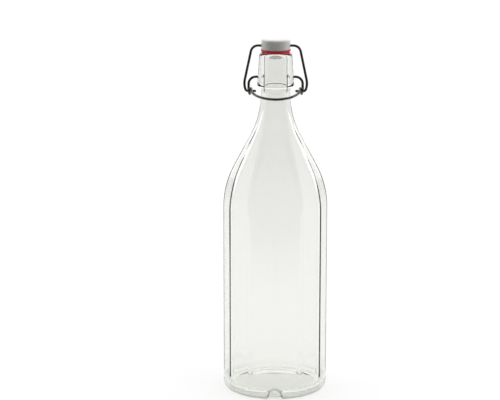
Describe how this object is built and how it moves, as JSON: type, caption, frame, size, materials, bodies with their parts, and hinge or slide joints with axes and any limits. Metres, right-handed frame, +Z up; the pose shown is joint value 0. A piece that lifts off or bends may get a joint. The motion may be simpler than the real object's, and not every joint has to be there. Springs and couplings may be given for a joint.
{
  "type": "swing top bottle",
  "caption": "Tall faceted clear glass bottle with a swing top: a wire lever and bail press a white stopper with a red rubber gasket onto the mouth.",
  "frame": {"origin": "centre of the base, on the surface that the bottle stands on", "axes": "+Z up along the bottle axis, -Y to the front where the lever bow and the heel notch are, X along the three hinge axes"},
  "size_m": [0.089, 0.089, 0.3057],
  "materials": {
    "clear_glass": "clear flint glass with a faint grey-green tint",
    "steel_wire": "bright galvanised spring wire",
    "white_plastic": "satin moulded plastic",
    "red_rubber": "smooth moulded rubber"
  },
  "bodies": {
    "bottle": {"glass_bottle": "clear_glass"},
    "lever": {"lever_wire": "steel_wire"},
    "bail": {"bail_wire": "steel_wire"},
    "closure": {"stopper": "white_plastic", "gasket": "red_rubber"}
  },
  "joints": [
    {"name": "lever_swing", "type": "hinge", "parent": "bottle", "child": "lever", "pos_m": [0, 0, 0.2723], "axis": [-1, 0, 0], "range_deg": [0, 180]},
    {"name": "bail_swing", "type": "hinge", "parent": "lever", "child": "bail", "pos_m": [0, 0, 0.2601], "axis": [-1, 0, 0], "range_deg": [-126, 0]},
    {"name": "stopper_tilt", "type": "hinge", "parent": "bail", "child": "closure", "pos_m": [0, 0, 0.2989], "axis": [-1, 0, 0], "range_deg": [-54, 0]}
  ],
  "couplings": [
    {"joint": "bail_swing", "follows": "lever_swing", "ratio": -0.7},
    {"joint": "stopper_tilt", "follows": "lever_swing", "ratio": -0.3}
  ]
}
